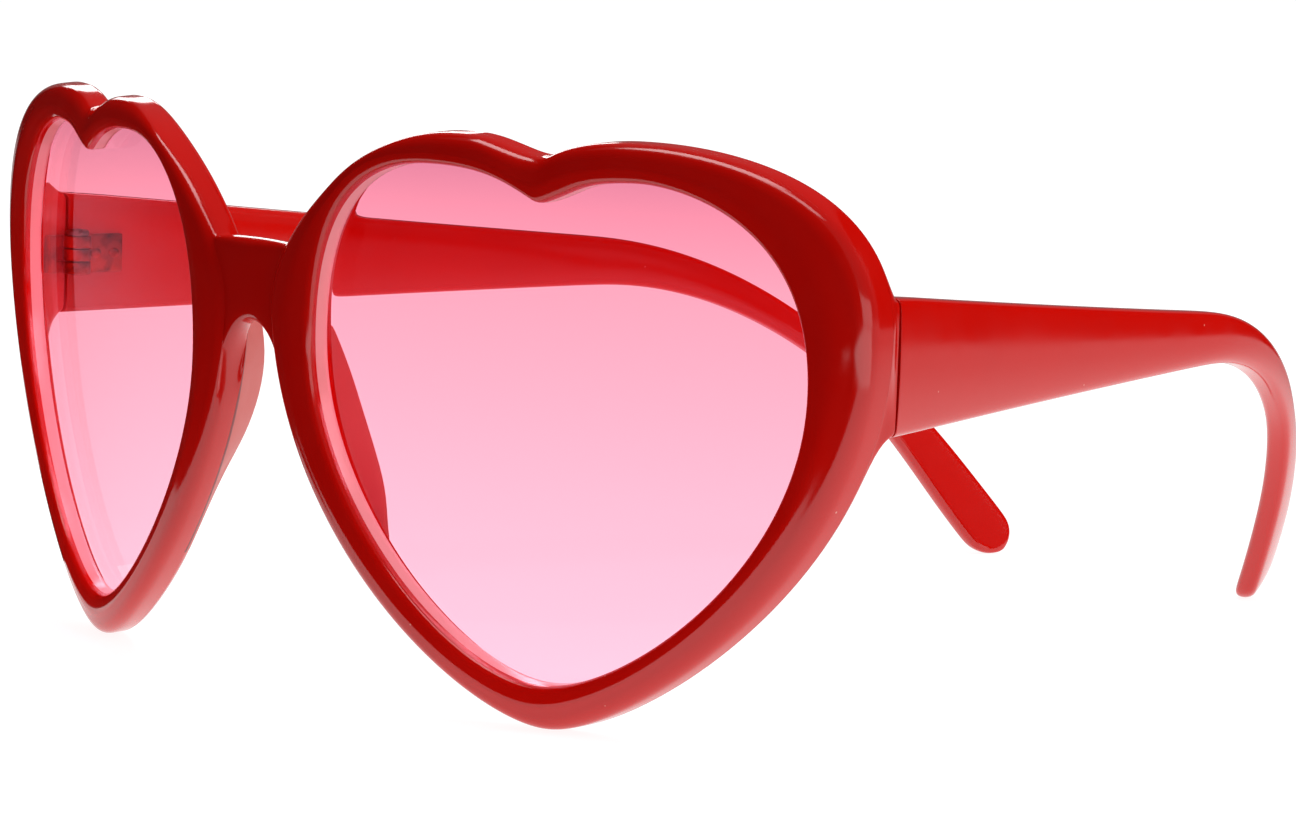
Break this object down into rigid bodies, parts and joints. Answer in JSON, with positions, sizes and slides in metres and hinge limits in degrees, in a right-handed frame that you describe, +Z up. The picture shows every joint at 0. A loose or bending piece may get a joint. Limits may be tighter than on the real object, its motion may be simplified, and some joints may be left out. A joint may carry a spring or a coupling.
{
  "type": "heart shaped sunglasses",
  "caption": "Heart shaped sunglasses: bowed gloss plastic front with moulded nose pads, tinted heart lenses, and tapered arms that fold on metal hinges.",
  "frame": {"origin": "middle of the outer box in X and Y, on the surface that the heart tips and the ear hooks stand on", "axes": "+Z up, -Y out of the front, +Y back along the arms, +X to the wearer's left"},
  "size_m": [0.1408, 0.1533, 0.0631],
  "materials": {
    "frame": "gloss red injection moulded plastic",
    "lens": "clear pink tinted plastic, polished",
    "hinge": "plated pressed metal",
    "screw": "plated steel"
  },
  "bodies": {
    "front": {"front_frame": "frame", "lens_left": "lens", "lens_right": "lens", "front_hinge_leaf_left": "hinge", "front_hinge_leaf_right": "hinge", "hinge_screw_left": "screw", "hinge_screw_right": "screw"},
    "temple_left": {"temple_left": "frame", "temple_hinge_leaf_left": "hinge"},
    "temple_right": {"temple_right": "frame", "temple_hinge_leaf_right": "hinge"}
  },
  "joints": [
    {"name": "temple_left_fold", "type": "hinge", "parent": "front", "child": "temple_left", "pos_m": [0.06314, -0.04736, 0.04101], "axis": [0, 0, 1], "range_deg": [0, 75]},
    {"name": "temple_right_fold", "type": "hinge", "parent": "front", "child": "temple_right", "pos_m": [-0.06314, -0.04736, 0.04101], "axis": [0, 0, -1], "range_deg": [0, 64]}
  ]
}
